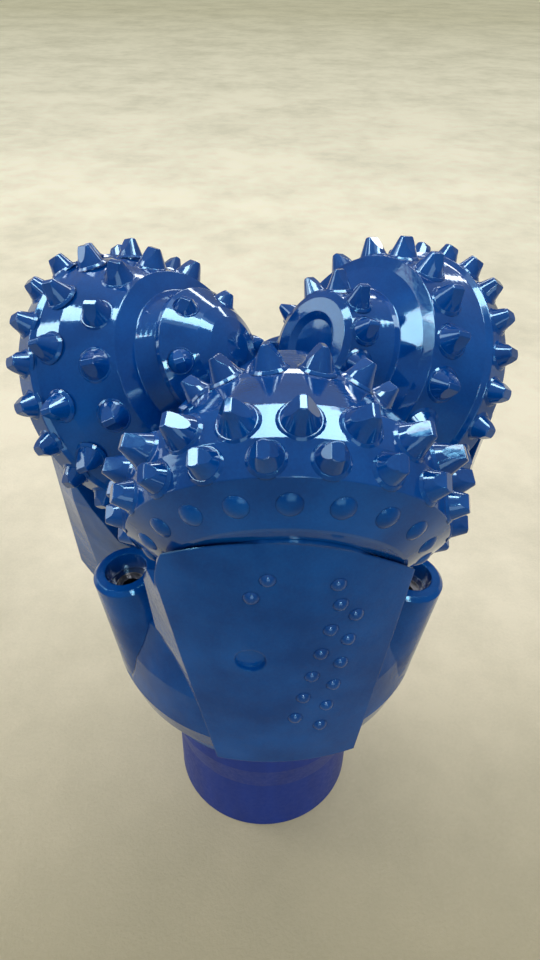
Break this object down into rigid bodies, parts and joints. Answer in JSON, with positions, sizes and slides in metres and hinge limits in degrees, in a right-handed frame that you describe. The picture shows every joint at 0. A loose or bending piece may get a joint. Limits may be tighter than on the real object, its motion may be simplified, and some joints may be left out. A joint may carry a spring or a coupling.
{
  "type": "tricone drill bit",
  "caption": "Roller-cone rock bit with carbide inserts: legs with sealed journals carry cones that turn freely, with jet nozzles and a tapered threaded pin under a plastic cap.",
  "frame": {"origin": "centre of the flat underside of the thread protector, on the bit's axis, where the bit stands", "axes": "+Z along the bit's axis from the protector up to the cutters; -Y towards leg 1 and cone 1; legs 2 and 3 lie at 150 and 30 degrees from +X"},
  "size_m": [0.3054, 0.2971, 0.4582],
  "materials": {
    "blue_enamel": "thick gloss enamel",
    "carbide": "sintered, dull grey",
    "bearing_steel": "ground, oiled",
    "bushing_alloy": "turned bearing bronze",
    "seal_rubber": "matte",
    "protector_plastic": "moulded, slightly worn"
  },
  "bodies": {
    "bit_body": {"leg_1": "blue_enamel", "ball_plug_1": "blue_enamel", "shirttail_buttons_1": "blue_enamel", "nozzle_1": "carbide", "grease_cup_1": "bearing_steel", "grease_diaphragm_1": "seal_rubber", "grease_cap_1": "blue_enamel", "leg_2": "blue_enamel", "ball_plug_2": "blue_enamel", "shirttail_buttons_2": "blue_enamel", "nozzle_2": "carbide", "grease_cup_2": "bearing_steel", "grease_diaphragm_2": "seal_rubber", "grease_cap_2": "blue_enamel", "leg_3": "blue_enamel", "ball_plug_3": "blue_enamel", "shirttail_buttons_3": "blue_enamel", "nozzle_3": "carbide", "grease_cup_3": "bearing_steel", "grease_diaphragm_3": "seal_rubber", "grease_cap_3": "blue_enamel", "nozzle_retaining_rings": "bearing_steel", "nozzle_o_rings": "seal_rubber", "grease_cap_snap_rings": "bearing_steel"},
    "cone_1": {"cone_shell_1": "blue_enamel", "heel_buttons_1": "blue_enamel", "gauge_inserts_1": "blue_enamel", "second_row_inserts_1": "blue_enamel", "third_row_inserts_1": "blue_enamel", "nose_bushing_1": "bushing_alloy", "thrust_washer_1": "bushing_alloy", "thrust_button_1": "carbide", "bearing_seal_1": "seal_rubber"},
    "rollers_1": {"bearing_rollers_1": "bearing_steel"},
    "balls_1": {"retaining_balls_1": "bearing_steel"},
    "cone_2": {"cone_shell_2": "blue_enamel", "heel_buttons_2": "blue_enamel", "gauge_inserts_2": "blue_enamel", "second_row_inserts_2": "blue_enamel", "third_row_inserts_2": "blue_enamel", "nose_row_inserts_2": "blue_enamel", "nose_bushing_2": "bushing_alloy", "thrust_washer_2": "bushing_alloy", "thrust_button_2": "carbide", "bearing_seal_2": "seal_rubber"},
    "rollers_2": {"bearing_rollers_2": "bearing_steel"},
    "balls_2": {"retaining_balls_2": "bearing_steel"},
    "cone_3": {"cone_shell_3": "blue_enamel", "heel_buttons_3": "blue_enamel", "gauge_inserts_3": "blue_enamel", "second_row_inserts_3": "blue_enamel", "third_row_inserts_3": "blue_enamel", "nose_bushing_3": "bushing_alloy", "thrust_washer_3": "bushing_alloy", "thrust_button_3": "carbide", "bearing_seal_3": "seal_rubber"},
    "rollers_3": {"bearing_rollers_3": "bearing_steel"},
    "balls_3": {"retaining_balls_3": "bearing_steel"},
    "protector": {"thread_protector": "protector_plastic"}
  },
  "joints": [
    {"name": "cone_1_spin", "type": "hinge", "parent": "bit_body", "child": "cone_1", "pos_m": [0.0085, 0, 0.4234], "axis": [0, -0.866, -0.5], "continuous": true},
    {"name": "rollers_1_orbit", "type": "hinge", "parent": "bit_body", "child": "rollers_1", "pos_m": [0.0085, 0, 0.4234], "axis": [0, -0.866, -0.5], "continuous": true},
    {"name": "balls_1_orbit", "type": "hinge", "parent": "bit_body", "child": "balls_1", "pos_m": [0.0085, 0, 0.4234], "axis": [0, -0.866, -0.5], "continuous": true},
    {"name": "cone_2_spin", "type": "hinge", "parent": "bit_body", "child": "cone_2", "pos_m": [-0.00425, -0.00736, 0.4234], "axis": [-0.75, 0.433, -0.5], "continuous": true},
    {"name": "rollers_2_orbit", "type": "hinge", "parent": "bit_body", "child": "rollers_2", "pos_m": [-0.00425, -0.00736, 0.4234], "axis": [-0.75, 0.433, -0.5], "continuous": true},
    {"name": "balls_2_orbit", "type": "hinge", "parent": "bit_body", "child": "balls_2", "pos_m": [-0.00425, -0.00736, 0.4234], "axis": [-0.75, 0.433, -0.5], "continuous": true},
    {"name": "cone_3_spin", "type": "hinge", "parent": "bit_body", "child": "cone_3", "pos_m": [-0.00425, 0.00736, 0.4234], "axis": [0.75, 0.433, -0.5], "continuous": true},
    {"name": "rollers_3_orbit", "type": "hinge", "parent": "bit_body", "child": "rollers_3", "pos_m": [-0.00425, 0.00736, 0.4234], "axis": [0.75, 0.433, -0.5], "continuous": true},
    {"name": "balls_3_orbit", "type": "hinge", "parent": "bit_body", "child": "balls_3", "pos_m": [-0.00425, 0.00736, 0.4234], "axis": [0.75, 0.433, -0.5], "continuous": true},
    {"name": "protector_pull_off", "type": "slide", "parent": "bit_body", "child": "protector", "axis": [0, 0, -1], "range_m": [0, 0.14]}
  ],
  "couplings": [
    {"joint": "rollers_1_orbit", "follows": "cone_1_spin", "ratio": 0.57336},
    {"joint": "balls_1_orbit", "follows": "cone_1_spin", "ratio": 0.60764},
    {"joint": "rollers_2_orbit", "follows": "cone_2_spin", "ratio": 0.57336},
    {"joint": "balls_2_orbit", "follows": "cone_2_spin", "ratio": 0.60764},
    {"joint": "rollers_3_orbit", "follows": "cone_3_spin", "ratio": 0.57336},
    {"joint": "balls_3_orbit", "follows": "cone_3_spin", "ratio": 0.60764}
  ]
}
